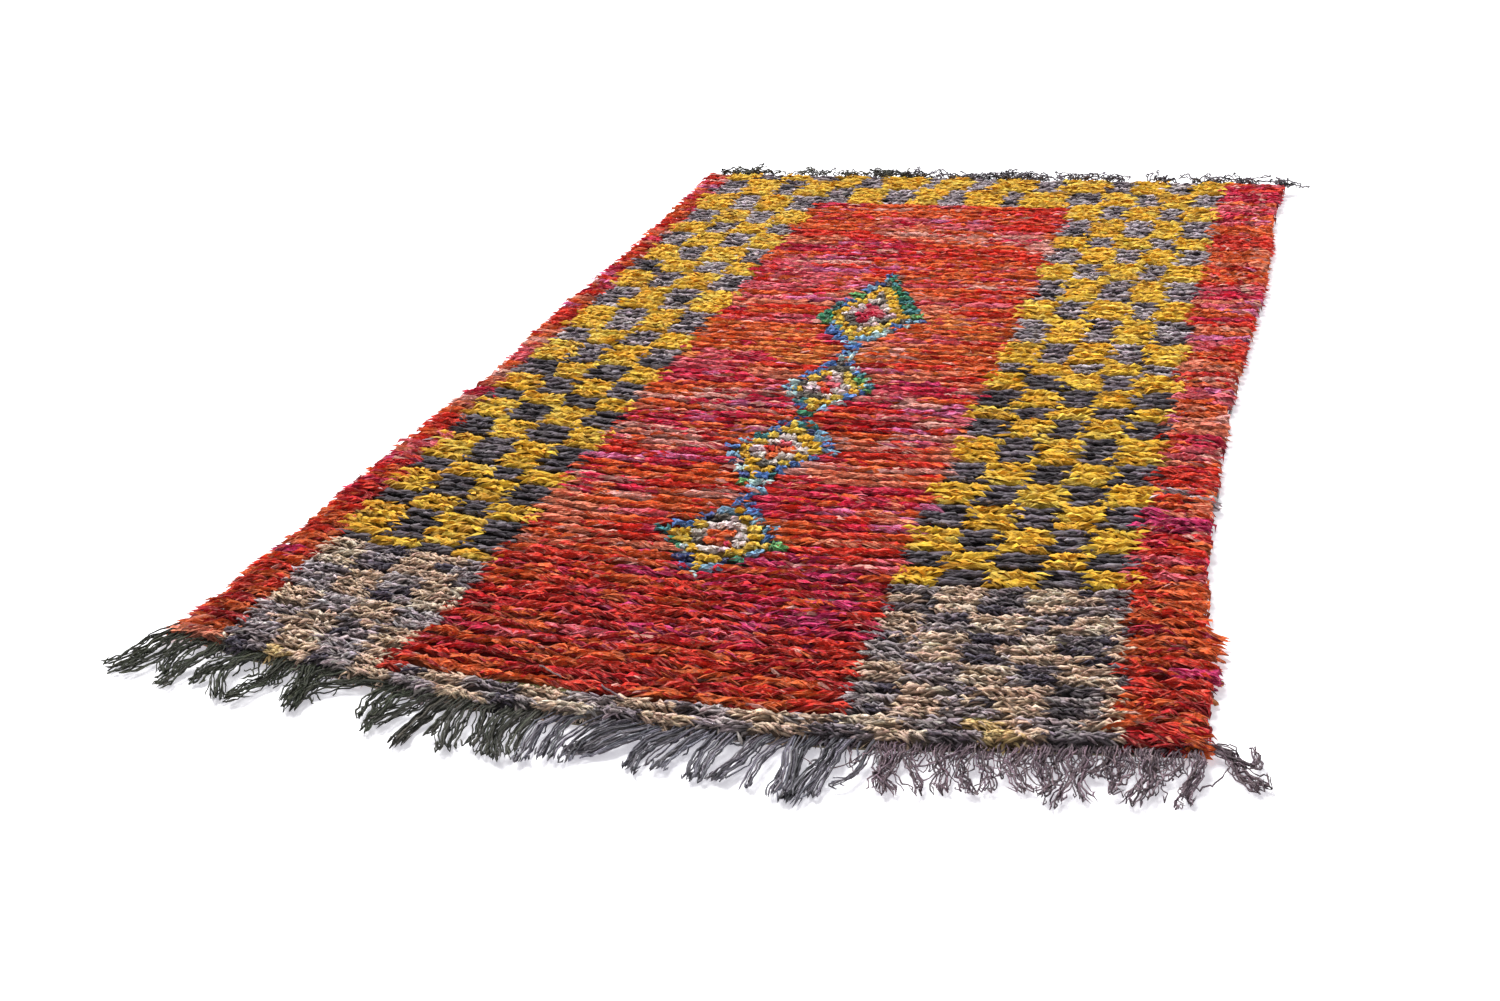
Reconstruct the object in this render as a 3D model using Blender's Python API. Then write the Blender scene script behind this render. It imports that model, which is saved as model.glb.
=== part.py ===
"""Boucherouite rug: a knotted rag pile on a woven ground, with a fringe of warp ends at each end."""

import math
import random

import bmesh
import bpy
from mathutils import Vector

# Places are measured in metres from the near left corner, x across and y to the far end,
# and MIDDLE is the centre of the whole outline in those measures.
MIDDLE = Vector((0.636, 1.001))
WIDTH = 1.290

# The pile is a slab whose rows of knots stand up as ridges.
ROWS = 94
COLUMNS = 13
RIDGE = 0.0215
GROOVE = 0.0150
RIM_RIDGE = 0.0130
RIM_GROOVE = 0.0095
SWELL = 0.0016
KNOT_JITTER = 0.0012
LOCK_REACH = 0.012
GROOVE_INSET = 0.006

# The side edges, which wander, at distances y from the near end.
SIDES = (
    {"y": 0.00, "left": -0.010, "right": 1.292},
    {"y": 0.15, "left": -0.005, "right": 1.294},
    {"y": 0.28, "left": 0.000, "right": 1.272},
    {"y": 0.60, "left": 0.006, "right": 1.259},
    {"y": 0.90, "left": 0.022, "right": 1.257},
    {"y": 1.20, "left": 0.015, "right": 1.270},
    {"y": 1.50, "left": 0.020, "right": 1.284},
    {"y": 1.85, "left": 0.015, "right": 1.283},
    {"y": 2.12, "left": 0.006, "right": 1.296},
)

# The end edges, of which the near one bows out, at distances x from the left corner.
ENDS = (
    {"x": 0.00, "near": 0.004, "far": 2.118},
    {"x": 0.10, "near": -0.024, "far": 2.122},
    {"x": 0.25, "near": -0.040, "far": 2.125},
    {"x": 0.40, "near": -0.070, "far": 2.121},
    {"x": 0.60, "near": -0.075, "far": 2.124},
    {"x": 0.80, "near": -0.068, "far": 2.120},
    {"x": 0.95, "near": -0.052, "far": 2.123},
    {"x": 1.10, "near": -0.024, "far": 2.119},
    {"x": 1.29, "near": 0.006, "far": 2.124},
)

# Each fringe hangs on a narrow woven strip, a hair's breadth from the pile.
STRIP_GAP = 0.0004
STRIP_DEPTH = 0.009
STRIP_HEIGHT = 0.0036
STRIP_MARGIN = 0.002
LOCK_HEIGHT = 0.0048
TIP_SHARE = 0.55

# How the near warp ends lie: lean is degrees to the right of straight out.
NEAR_LAY = (
    {"x": 0.00, "lean": -40, "length": 0.118},
    {"x": 0.05, "lean": -4, "length": 0.102},
    {"x": 0.09, "lean": 10, "length": 0.104},
    {"x": 0.13, "lean": 10, "length": 0.092},
    {"x": 0.18, "lean": 18, "length": 0.100},
    {"x": 0.25, "lean": 10, "length": 0.074},
    {"x": 0.32, "lean": 6, "length": 0.092},
    {"x": 0.37, "lean": 15, "length": 0.112},
    {"x": 0.42, "lean": 12, "length": 0.084},
    {"x": 0.50, "lean": 8, "length": 0.092},
    {"x": 0.58, "lean": -6, "length": 0.078},
    {"x": 0.64, "lean": -18, "length": 0.070},
    {"x": 0.70, "lean": -10, "length": 0.074},
    {"x": 0.75, "lean": 2, "length": 0.082},
    {"x": 0.81, "lean": -8, "length": 0.084},
    {"x": 0.86, "lean": 3, "length": 0.108},
    {"x": 0.94, "lean": -10, "length": 0.078},
    {"x": 1.00, "lean": 12, "length": 0.080},
    {"x": 1.08, "lean": 15, "length": 0.080},
    {"x": 1.15, "lean": 10, "length": 0.098},
    {"x": 1.21, "lean": 4, "length": 0.100},
    {"x": 1.25, "lean": 8, "length": 0.094},
    {"x": 1.29, "lean": 50, "length": 0.096},
)
NEAR_FRINGE = {"bundles": 34, "locks": 3, "lock_width": 0.0046, "spacing": 0.0092, "drawn_in": 0.0062,
               "steps": 4, "stagger": 0.010}

# The far warp ends are short, and lean less.
FAR_LAY = (
    {"x": 0.00, "lean": -8, "length": 0.034},
    {"x": 0.20, "lean": 10, "length": 0.046},
    {"x": 0.40, "lean": -6, "length": 0.040},
    {"x": 0.65, "lean": 8, "length": 0.036},
    {"x": 0.85, "lean": -10, "length": 0.048},
    {"x": 1.10, "lean": 6, "length": 0.044},
    {"x": 1.29, "lean": 28, "length": 0.050},
)
FAR_FRINGE = {"bundles": 25, "locks": 2, "lock_width": 0.0056, "spacing": 0.0125, "drawn_in": 0.0085,
              "steps": 3, "stagger": 0.012}

COLOURS = {
    "knotted_pile": {"colour": (0.560, 0.120, 0.060), "roughness": 0.92},
    "fringe_near": {"colour": (0.115, 0.115, 0.110), "roughness": 0.88},
    "fringe_far": {"colour": (0.150, 0.140, 0.155), "roughness": 0.90},
}


def clear_scene():
    for thing in list(bpy.data.objects):
        bpy.data.objects.remove(thing, do_unlink=True)


def read_table(table, key, at, column):
    """The column's value at a place along the key, on straight lines between the rows."""
    rows = sorted(table, key=lambda row: row[key])
    if at <= rows[0][key]:
        return rows[0][column]
    for low, high in zip(rows, rows[1:]):
        if at <= high[key]:
            share = (at - low[key]) / (high[key] - low[key])
            return low[column] + share * (high[column] - low[column])
    return rows[-1][column]


def pile_point(across, along):
    """A place on the rug's outline grid, from shares across and along it."""
    x = across * WIDTH
    near = read_table(ENDS, "x", x, "near")
    far = read_table(ENDS, "x", x, "far")
    y = near + along * (far - near)
    left = read_table(SIDES, "y", y, "left") + GROOVE_INSET
    right = read_table(SIDES, "y", y, "right") - GROOVE_INSET
    return Vector((left + across * (right - left), y))


def end_edge_y(x, along):
    """The slab's straight-sided end edge at x, near for along 0 and far for along 1."""
    points = [pile_point(column / COLUMNS, along) for column in range(COLUMNS + 1)]
    rows = [{"x": point.x, "y": point.y} for point in points]
    return read_table(rows, "x", x, "y")


def swell(x, y):
    return SWELL * (math.sin(6.1 * x + 3.7 * y + 0.4) + math.sin(8.9 * y - 4.3 * x + 1.9))


def new_material(name):
    look = COLOURS[name]
    material = bpy.data.materials.new(name)
    material.use_nodes = True
    shader = material.node_tree.nodes["Principled BSDF"]
    shader.inputs["Base Color"].default_value = (*look["colour"], 1.0)
    shader.inputs["Roughness"].default_value = look["roughness"]
    shader.inputs["Metallic"].default_value = 0.0
    return material


def finish_object(bm, name, collection):
    """Centre the shape on the rug's middle, close its normals and link it under its name."""
    bmesh.ops.translate(bm, vec=(-MIDDLE.x, -MIDDLE.y, 0.0), verts=bm.verts)
    bmesh.ops.recalc_face_normals(bm, faces=bm.faces)
    mesh = bpy.data.meshes.new(name)
    bm.to_mesh(mesh)
    bm.free()
    mesh.materials.append(new_material(name))
    piece = bpy.data.objects.new(name, mesh)
    collection.objects.link(piece)
    return piece


def raise_from_floor(bm):
    """Give the flat grid thickness, with its first faces left lying on the floor."""
    floor_faces = list(bm.faces)
    raised = bmesh.ops.extrude_face_region(bm, geom=floor_faces)
    return floor_faces, [item for item in raised["geom"] if isinstance(item, bmesh.types.BMVert)]


def pile_height(column, line, point, dice):
    """Height over the floor of one point of the pile, a crest on odd lines."""
    crest = line % 2 == 1
    at_side = column in (0, COLUMNS)
    at_end = line in (0, 2 * ROWS)
    if at_side or at_end:
        height = RIM_RIDGE if crest else RIM_GROOVE
    else:
        height = RIDGE if crest else GROOVE
    return height + swell(point.x, point.y) + dice.uniform(-KNOT_JITTER, KNOT_JITTER)


def build_pile(collection):
    dice = random.Random(7)
    lines = 2 * ROWS
    bm = bmesh.new()
    bmesh.ops.create_grid(bm, x_segments=COLUMNS, y_segments=lines, size=0.5)
    places = {}
    for vert in bm.verts:
        places[vert] = (round((vert.co.x + 0.5) * COLUMNS), round((vert.co.y + 0.5) * lines))
    locks = {(column, line): dice.uniform(-0.2, 1.0) * LOCK_REACH
             for column in (0, COLUMNS) for line in range(1, lines, 2)}
    heights = {}
    for vert, (column, line) in places.items():
        point = pile_point(column / COLUMNS, line / lines)
        outward = -1.0 if column == 0 else 1.0
        reach = locks.get((column, line), 0.0)
        vert.co = (point.x + outward * reach, point.y, 0.0)
        heights[vert.co.to_tuple(6)] = pile_height(column, line, point, dice)
    floor_faces, top_verts = raise_from_floor(bm)
    for vert in top_verts:
        vert.co.z = heights[vert.co.to_tuple(6)]
    bmesh.ops.dissolve_faces(bm, faces=floor_faces)
    return finish_object(bm, "knotted_pile", collection)


def bundle_places(fringe, lay, first_x, last_x):
    """The middle of each bundle of locks, spread evenly between two places."""
    pitch = (last_x - first_x) / (fringe["bundles"] - 1)
    for number in range(fringe["bundles"]):
        x = first_x + number * pitch
        yield {"x": x, "lean": math.radians(read_table(lay, "x", x, "lean")),
               "length": read_table(lay, "x", x, "length")}


def lock_list(fringe, lay, first_x, last_x, dice):
    """Every lock of a fringe: its bundle, its place in the bundle and its own length."""
    locks = []
    for bundle in bundle_places(fringe, lay, first_x, last_x):
        curl = dice.uniform(-0.10, 0.10)
        for number in range(fringe["locks"]):
            seat = number - (fringe["locks"] - 1) / 2
            locks.append({"bundle": bundle, "curl": curl, "seat": seat,
                          "root": bundle["x"] + seat * fringe["spacing"],
                          "length": bundle["length"] - dice.uniform(0.0, fringe["stagger"])})
    return locks


def lock_sections(lock, fringe, root_y, out):
    """The middle, the sideways direction and the half width of a lock at each step."""
    bundle = lock["bundle"]
    centre = Vector((bundle["x"], root_y))
    step = lock["length"] / fringe["steps"]
    sections = []
    for number in range(1, fringe["steps"] + 1):
        share = number / fringe["steps"]
        heading = bundle["lean"] * min(1.0, share * 2.0) + lock["curl"] * share
        centre = centre + step * Vector((math.sin(heading), out * math.cos(heading)))
        side = Vector((math.cos(heading), -out * math.sin(heading)))
        closing = min(1.0, share * 2.0)
        spacing = fringe["spacing"] + closing * (fringe["drawn_in"] - fringe["spacing"])
        taper = 1.0 + (TIP_SHARE - 1.0) * share
        sections.append({"middle": centre + lock["seat"] * spacing * side, "side": side,
                         "half": 0.5 * fringe["lock_width"] * taper,
                         "height": LOCK_HEIGHT * (0.4 + 0.6 * taper)})
    return sections


def draw_lock(bm, face, sections):
    """Draw a lock out of the strip's front face, its lower side level on the floor."""
    side = Vector((1.0, 0.0))
    for section in sections:
        face = bmesh.ops.extrude_discrete_faces(bm, faces=[face])["faces"][0]
        middle = face.calc_center_median().to_2d()
        moved = []
        for vert in face.verts:
            hand = 1.0 if (vert.co.to_2d() - middle).dot(side) > 0 else -1.0
            place = section["middle"] + hand * section["half"] * section["side"]
            moved.append((vert, (place.x, place.y, section["height"] if vert.co.z > 0 else 0.0)))
        for vert, place in moved:
            vert.co = place
        side = section["side"]


def build_fringe(name, fringe, lay, along, seed, collection):
    """A comb: a strip that follows the slab's end edge, with a lock drawn from every other face."""
    out = 1.0 if along else -1.0
    dice = random.Random(seed)
    half = fringe["lock_width"] / 2
    inset = fringe["spacing"] * (fringe["locks"] - 1) / 2 + half + STRIP_MARGIN
    first_x = pile_point(0.0, along).x + inset
    last_x = pile_point(1.0, along).x - inset
    locks = lock_list(fringe, lay, first_x, last_x, dice)
    stations = [locks[0]["root"] - half - STRIP_MARGIN]
    for lock in locks:
        stations += [lock["root"] - half, lock["root"] + half]
    stations.append(locks[-1]["root"] + half + STRIP_MARGIN)

    bm = bmesh.new()
    segments = len(stations) - 1
    bmesh.ops.create_grid(bm, x_segments=segments, y_segments=1, size=0.5)
    for vert in bm.verts:
        x = stations[round((vert.co.x + 0.5) * segments)]
        depth = STRIP_GAP + (STRIP_DEPTH if vert.co.y * out > 0 else 0.0)
        vert.co = (x, end_edge_y(x, along) + out * depth, 0.0)
    raised = raise_from_floor(bm)[1]
    bmesh.ops.translate(bm, vec=(0.0, 0.0, STRIP_HEIGHT), verts=raised)
    bmesh.ops.recalc_face_normals(bm, faces=bm.faces)
    front = [face for face in bm.faces if face.normal.y * out > 0.5]
    front.sort(key=lambda face: face.calc_center_median().x)
    for lock, face in zip(locks, front[1::2]):
        root_y = end_edge_y(lock["bundle"]["x"], along) + out * (STRIP_GAP + STRIP_DEPTH)
        draw_lock(bm, face, lock_sections(lock, fringe, root_y, out))
    return finish_object(bm, name, collection)


def main():
    clear_scene()
    collection = bpy.data.collections.new("boucherouite_rug")
    bpy.context.scene.collection.children.link(collection)
    build_pile(collection)
    build_fringe("fringe_near", NEAR_FRINGE, NEAR_LAY, 0, 11, collection)
    build_fringe("fringe_far", FAR_FRINGE, FAR_LAY, 1, 23, collection)


main()
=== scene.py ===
import math

import bpy
import numpy as np
from mathutils import Matrix, Vector


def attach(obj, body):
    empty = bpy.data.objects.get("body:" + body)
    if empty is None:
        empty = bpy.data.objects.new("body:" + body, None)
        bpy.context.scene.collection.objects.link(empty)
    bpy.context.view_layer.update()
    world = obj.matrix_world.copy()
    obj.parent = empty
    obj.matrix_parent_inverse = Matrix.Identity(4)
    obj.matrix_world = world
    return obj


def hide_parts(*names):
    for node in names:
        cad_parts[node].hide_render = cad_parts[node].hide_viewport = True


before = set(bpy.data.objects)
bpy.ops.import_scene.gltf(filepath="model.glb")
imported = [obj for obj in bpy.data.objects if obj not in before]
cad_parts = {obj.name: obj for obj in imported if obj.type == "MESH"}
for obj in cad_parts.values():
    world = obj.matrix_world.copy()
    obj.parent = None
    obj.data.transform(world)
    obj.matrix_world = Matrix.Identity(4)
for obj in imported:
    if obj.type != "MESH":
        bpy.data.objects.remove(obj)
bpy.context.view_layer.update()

bpy.ops.object.select_all(action="DESELECT")
dice = np.random.default_rng(41)


def metres(table):  # a table that was measured in millimetres
    if isinstance(table, dict):
        return {name: metres(part) for name, part in table.items()}
    if isinstance(table, tuple):
        return tuple(metres(part) for part in table)
    return table / 1000.0 if isinstance(table, int) else table


# Lengths are metres. Places on the rug are measured from its near left corner, x across and y to
# the far end, and the rug's middle is then put on the frame's origin.
rug = {"middle": (0.636, 1.001), "width": 1.290, "rows": 94, "knots": 126, "inset": 0.006}
sideEdges = metres({
    "y": (0, 150, 280, 600, 900, 1200, 1500, 1850, 2120),
    "left": (-10, -5, 0, 6, 22, 15, 20, 15, 6),
    "right": (1292, 1294, 1272, 1259, 1257, 1270, 1284, 1283, 1296),
})
endEdges = metres({
    "x": (0, 100, 250, 400, 600, 800, 950, 1100, 1290),
    "near": (4, -24, -40, -70, -75, -68, -52, -24, 6),
    "far": (2118, 2122, 2125, 2121, 2124, 2120, 2123, 2119, 2124),
})
rowEnds = metres({  # y, and how far the rows stick out there
    "left": ((0, 30, 70, 100, 120, 145, 200, 240, 290, 330, 360, 390, 430, 500, 570, 640, 680, 790, 880,
              1000, 1060, 1130, 1500, 2120),
             (28, 30, 28, 16, 10, 20, 28, 21, 16, 8, 14, 14, 28, 15, 16, 2, 22, 19, 3, 0, 20, 16, 10, 8)),
    "right": ((0, 15, 40, 60, 107, 129, 144, 167, 203, 228, 242, 261, 272, 297, 322, 369, 396, 412, 453,
               536, 586, 598, 618, 696, 752, 813, 874, 922, 973, 1028, 1101, 1201, 1254, 1383, 1522, 1638,
               1694, 1857, 1957, 2023, 2120),
              (12, 12, 0, -4, -5, -4, 4, 6, 9, 19, 20, 6, 0, 3, -2, 1, -5, -6, -3, -1, -2, 12, 0, 4, -1, 6,
               6, -5, 10, -3, 7, 3, 6, 6, 9, 5, 13, 3, -5, 6, 2)),
})


def outline(y):  # the left and right limits of the pile
    return np.stack([np.interp(y, sideEdges["y"], sideEdges["left"]) - np.interp(y, *rowEnds["left"]),
                     np.interp(y, sideEdges["y"], sideEdges["right"]) + np.interp(y, *rowEnds["right"])])


def rugPoint(across, along):  # shares of the width and length, as arrays
    x = across * rug["width"]
    near = np.interp(x, endEdges["x"], endEdges["near"])
    far = np.interp(x, endEdges["x"], endEdges["far"])
    y = near + along * (far - near)
    left = np.interp(y, sideEdges["y"], sideEdges["left"]) + rug["inset"]
    right = np.interp(y, sideEdges["y"], sideEdges["right"]) - rug["inset"]
    return left + across * (right - left), y


def linear(colour):  # screen colour 0 to 255 into light
    c = np.asarray(colour, float) / 255.0
    return np.where(c <= 0.04045, c / 12.92, ((c + 0.055) / 1.055) ** 2.4)


def store(layer, field, values):  # one row of numbers for each element of a mesh
    layer.foreach_set(field, np.asarray(values, np.float32).ravel())


def upward(spine):  # strips that face straight up
    outward = np.zeros_like(spine)
    outward[..., 2] = 1.0
    return outward


# Shader maths

class Wire:  # a socket that sums can be written with
    def __init__(self, look, socket):
        self.look = look
        self.socket = socket

    def sum(self, operation, first, second):
        return self.look.node("ShaderNodeMath", {"operation": operation}, [first, second])

    def __add__(self, other):
        return self.sum("ADD", self, other)

    __radd__ = __add__

    def __mul__(self, other):
        return self.sum("MULTIPLY", self, other)

    __rmul__ = __mul__

    def __sub__(self, other):
        return self.sum("SUBTRACT", self, other)

    def __rsub__(self, other):
        return self.sum("SUBTRACT", other, self)


class Look:  # one material and its nodes
    def __init__(self, name, roughness, sheen=0.0):
        self.material = bpy.data.materials.new(name)
        self.material.use_nodes = True
        self.tree = self.material.node_tree
        self.shader = self.tree.nodes["Principled BSDF"]
        self.shader.inputs["Roughness"].default_value = roughness
        self.shader.inputs["Specular IOR Level"].default_value = 0.25
        self.shader.inputs["Sheen Weight"].default_value = sheen
        self.shader.inputs["Sheen Roughness"].default_value = 0.5

    def feed(self, socket, value):
        if isinstance(value, Wire):
            self.tree.links.new(value.socket, socket)
        else:
            socket.default_value = value

    def node(self, kind, settings=None, sockets=None, out=0):
        new = self.tree.nodes.new(kind)
        for key, value in (settings or {}).items():
            setattr(new, key, value)
        for key, value in sockets.items() if isinstance(sockets, dict) else enumerate(sockets or []):
            self.feed(new.inputs[key], value)
        return Wire(self, new.outputs[out])

    def mix(self, factor, first, second, blend="MIX"):
        return self.node("ShaderNodeMix", {"data_type": "RGBA", "blend_type": blend},
                         {0: factor, 6: first, 7: second}, out=2)

    def grey(self, level):  # one number as a grey colour
        return self.node("ShaderNodeCombineColor", None, [level, level, level])

    def noise(self, place, scale, detail):
        sockets = {"Vector": place, "Scale": scale, "Detail": detail}
        return self.node("ShaderNodeTexNoise", None, sockets, out="Fac")

    def wave(self, place, direction, scale, distortion, detail=2.0):
        sockets = {"Vector": place, "Scale": scale, "Distortion": distortion, "Detail": detail}
        settings = {"wave_type": "BANDS", "bands_direction": direction}
        return self.node("ShaderNodeTexWave", settings, sockets, out="Fac")

    def finish(self, colour, height, depth):
        self.feed(self.shader.inputs["Base Color"], colour)
        bump = self.node("ShaderNodeBump", None, {"Strength": 1.0, "Distance": depth, "Height": height})
        self.feed(self.shader.inputs["Normal"], bump)
        return self.material


def yarnLook(name, roughness, sheen, streaks, mottle, depth, fade=(0.9, 0.55, 0.45), worn=0.0, plies=0.0):
    # dyed strips and yarns: streaks run along the strip, worn parts fade, plies are a yarn's twist
    look = Look(name, roughness, sheen)
    # the dye attribute holds each point's dye, with the shade painted into the pile and the bed
    dye = look.node("ShaderNodeAttribute", {"attribute_name": "dye"})
    lay = look.node("ShaderNodeUVMap", {"uv_map": "lay"})
    place = look.node("ShaderNodeTexCoord", out="Object")
    drawn = look.node("ShaderNodeVectorMath", {"operation": "MULTIPLY"}, [lay, (streaks, 0.35, 1.0)])
    streak = look.noise(drawn, 2.4, 3.0)
    grain = look.noise(place, 900.0, 1.0)
    cloud = look.noise(place, 160.0, 2.0)
    shade = (streak - 0.5) * mottle + (cloud - 0.5) * (0.8 * mottle) + (grain - 0.5) * 0.25 + 1.0
    height = streak + grain * 0.35
    if plies:
        twist = look.wave(lay, "DIAGONAL", plies, 1.5, 1.0)
        height = height * 0.5 + twist
        shade = shade * (twist * 1.1 + 0.42)
    if worn:
        patch = look.noise(drawn, 1.3, 2.0)
        share = look.node("ShaderNodeMapRange", None, {0: patch, 1: 0.54, 2: 0.68, 3: 0.0, 4: worn})
        dye = look.mix(share, dye, (*fade, 1.0))
    colour = look.mix(1.0, dye, look.grey(shade), "MULTIPLY")
    return look.finish(colour, height, depth)


# Joined meshes: a strip is modelled once and copied along many short spines

def modelStrip(name, shape):
    # a flat end face drawn out ring by ring and closed to a point
    rings = shape["rings"]
    bpy.ops.mesh.primitive_circle_add(vertices=shape["sides"], radius=0.5, fill_type="NGON")
    strip = bpy.context.object
    strip.name = name
    bpy.ops.object.mode_set(mode="EDIT")
    bpy.ops.mesh.select_all(action="SELECT")
    bpy.ops.transform.resize(value=(rings[0][1], rings[0][1], 1.0))
    for (lastPlace, lastWidth), (place, width) in zip(rings, rings[1:]):
        bpy.ops.mesh.extrude_region_move(TRANSFORM_OT_translate={"value": (0.0, 0.0, place - lastPlace)})
        bpy.ops.transform.resize(value=(width / lastWidth, width / lastWidth, 1.0))
    bpy.ops.mesh.extrude_region_move(TRANSFORM_OT_translate={"value": (0.0, 0.0, 1.0 - rings[-1][0])})
    bpy.ops.mesh.merge(type="CENTER")
    bpy.ops.mesh.select_all(action="SELECT")
    bpy.ops.mesh.quads_convert_to_tris()
    bpy.ops.mesh.normals_make_consistent(inside=False)
    bpy.ops.object.mode_set(mode="OBJECT")
    mesh = strip.data
    co = np.array([v.co for v in mesh.vertices])
    places = [ring[0] for ring in rings] + [1.0]
    ring = np.array([int(np.argmin([abs(z - p) for p in places])) for z in co[:, 2]])
    tris = np.array([list(p.vertices) for p in mesh.polygons])
    around = (np.arctan2(co[:, 1], co[:, 0]) / (2.0 * math.pi)) % 1.0
    cornerU = around[tris]
    tip = ring[tris] == len(rings)
    for corners, ends in zip(cornerU, tip):  # the seam, and the tip above its own face
        body = corners[~ends]
        if body.max() - body.min() > 0.5:
            corners[corners < 0.5] += 1.0
        corners[ends] = corners[~ends].mean()
    bpy.data.objects.remove(strip, do_unlink=True)
    return {"co": co, "ring": ring, "places": np.array(places), "tris": tris, "cornerU": cornerU}


def unit(v):
    return v / np.maximum(np.linalg.norm(v, axis=-1, keepdims=True), 1e-9)


def joinStrips(name, strip, spine, outward, width, thick, twist, dye, material, smooth, crumple=0.0):
    # spine and outward are strips x rings x 3, dye is strips x rings x 3 colours with any painted shade in
    # them, the rest one per strip
    count = len(spine)
    ring = strip["ring"]
    ahead = unit(np.gradient(spine, axis=1))
    side = unit(np.cross(ahead, outward))
    up = np.cross(side, ahead)
    turn = twist[:, None] * strip["places"][None, :]
    c = np.cos(turn)[..., None]
    s = np.sin(turn)[..., None]
    side, up = side * c + up * s, up * c - side * s
    co = strip["co"]
    points = (spine[:, ring] + side[:, ring] * co[:, 0][None, :, None] * width[:, None, None]
              + up[:, ring] * co[:, 1][None, :, None] * thick[:, None, None])
    points = points + dice.normal(0.0, 1.0, points.shape) * crumple
    points[..., 2] = np.maximum(points[..., 2], 0.0006)
    points[..., 0] -= rug["middle"][0]
    points[..., 1] -= rug["middle"][1]
    tris = strip["tris"]
    faces = (tris[None] + (np.arange(count) * len(co))[:, None, None]).reshape(-1, 3)
    mesh = bpy.data.meshes.new(name)
    mesh.vertices.add(count * len(co))
    store(mesh.vertices, "co", points)
    mesh.loops.add(len(faces) * 3)
    mesh.polygons.add(len(faces))
    mesh.loops.foreach_set("vertex_index", faces.astype(np.int32).ravel())
    mesh.polygons.foreach_set("loop_start", np.arange(0, len(faces) * 3, 3, dtype=np.int32))
    mesh.polygons.foreach_set("use_smooth", np.full(len(faces), smooth))
    mesh.update(calc_edges=True)
    paint = np.ones((count, len(co), 4), np.float32)
    paint[..., :3] = dye[:, ring]
    store(mesh.attributes.new("dye", "FLOAT_COLOR", "POINT").data, "color", paint)
    u = np.broadcast_to(strip["cornerU"][None], (count,) + tris.shape)
    v = np.broadcast_to(strip["places"][ring[tris]][None], (count,) + tris.shape)
    cells = math.ceil(math.sqrt(count))
    cell = np.arange(count)
    bakeU = ((cell % cells)[:, None, None] + 0.1 + 0.8 * u / 1.5) / cells
    bakeV = ((cell // cells)[:, None, None] + 0.1 + 0.8 * v) / cells
    store(mesh.uv_layers.new(name="OFBake").data, "uv", np.stack([bakeU, bakeV], -1))
    shift = dice.uniform(0.0, 40.0, (count, 2))
    length = np.linalg.norm(np.diff(spine, axis=1), axis=-1).sum(1) / np.maximum(width, 1e-6)
    layU = u + shift[:, 0, None, None]
    layV = v * length[:, None, None] + shift[:, 1, None, None]
    store(mesh.uv_layers.new(name="lay").data, "uv", np.stack([layU, layV], -1))
    mesh.materials.append(material)
    piece = bpy.data.objects.new(name, mesh)
    bpy.context.scene.collection.objects.link(piece)
    return piece


# The chart: which dye and which strip is knotted where, in rows counted from the near end

dyes = {
    "red": (206, 54, 38), "orange": (238, 110, 54), "deepRed": (162, 26, 32), "crimson": (180, 36, 68),
    "pink": (222, 104, 118), "salmon": (240, 142, 110), "lilac": (206, 112, 156),
    "paleRose": (236, 172, 160),
    "magenta": (170, 44, 92), "tan": (214, 134, 84), "amber": (242, 148, 76),
    "yellow": (232, 185, 56), "gold": (213, 158, 40), "straw": (242, 205, 84), "ochre": (178, 131, 38),
    "charcoal": (80, 72, 78), "soot": (54, 48, 54), "ash": (112, 102, 110),
    "mauve": (146, 133, 139), "mauvePale": (184, 171, 176), "mauveDark": (98, 86, 94),
    "beige": (228, 197, 172), "sand": (206, 175, 153), "cream": (238, 217, 195), "wheat": (216, 184, 128),
    "grey": (166, 152, 154), "slate": (128, 116, 122), "navy": (80, 72, 86),
    "blue": (74, 112, 170), "sky": (124, 164, 190), "ice": (172, 196, 196), "navyBlue": (56, 70, 118),
    "green": (52, 122, 92), "leafGreen": (92, 148, 88), "teal": (58, 118, 122),
    "bone": (218, 204, 200), "bonePink": (206, 176, 184), "bark": (92, 84, 78),
    "olive": (138, 128, 66), "weft": (176, 164, 160), "selvedge": (214, 204, 202),
    "thread": (206, 178, 190),
}
dyeNames = list(dyes)
dyeLight = linear([dyes[name] for name in dyeNames])
mixes = {
    "yellow": {"yellow": 50, "gold": 28, "straw": 15, "ochre": 7},
    "dark": {"charcoal": 48, "soot": 22, "ash": 30},
    "mauve": {"mauve": 48, "mauvePale": 36, "mauveDark": 12, "soot": 4},
    "beige": {"beige": 50, "sand": 30, "cream": 17, "wheat": 3},
    "grey": {"grey": 28, "slate": 36, "navy": 14, "charcoal": 12, "sand": 10},
    "greyPale": {"grey": 44, "slate": 18, "navy": 6, "sand": 8, "mauvePale": 24},
    "ringBlue": {"blue": 46, "sky": 24, "ice": 8, "navyBlue": 16, "teal": 6},
    "ringGreen": {"green": 46, "leafGreen": 26, "teal": 28},
    "ringYellow": {"yellow": 48, "straw": 26, "gold": 12, "bark": 14},
    "ringBone": {"bone": 58, "bonePink": 24, "bark": 18},
    "heart": {"red": 30, "orange": 30, "crimson": 16, "pink": 24},
    "tip": {"sky": 44, "ice": 40, "teal": 16},
}
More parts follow.
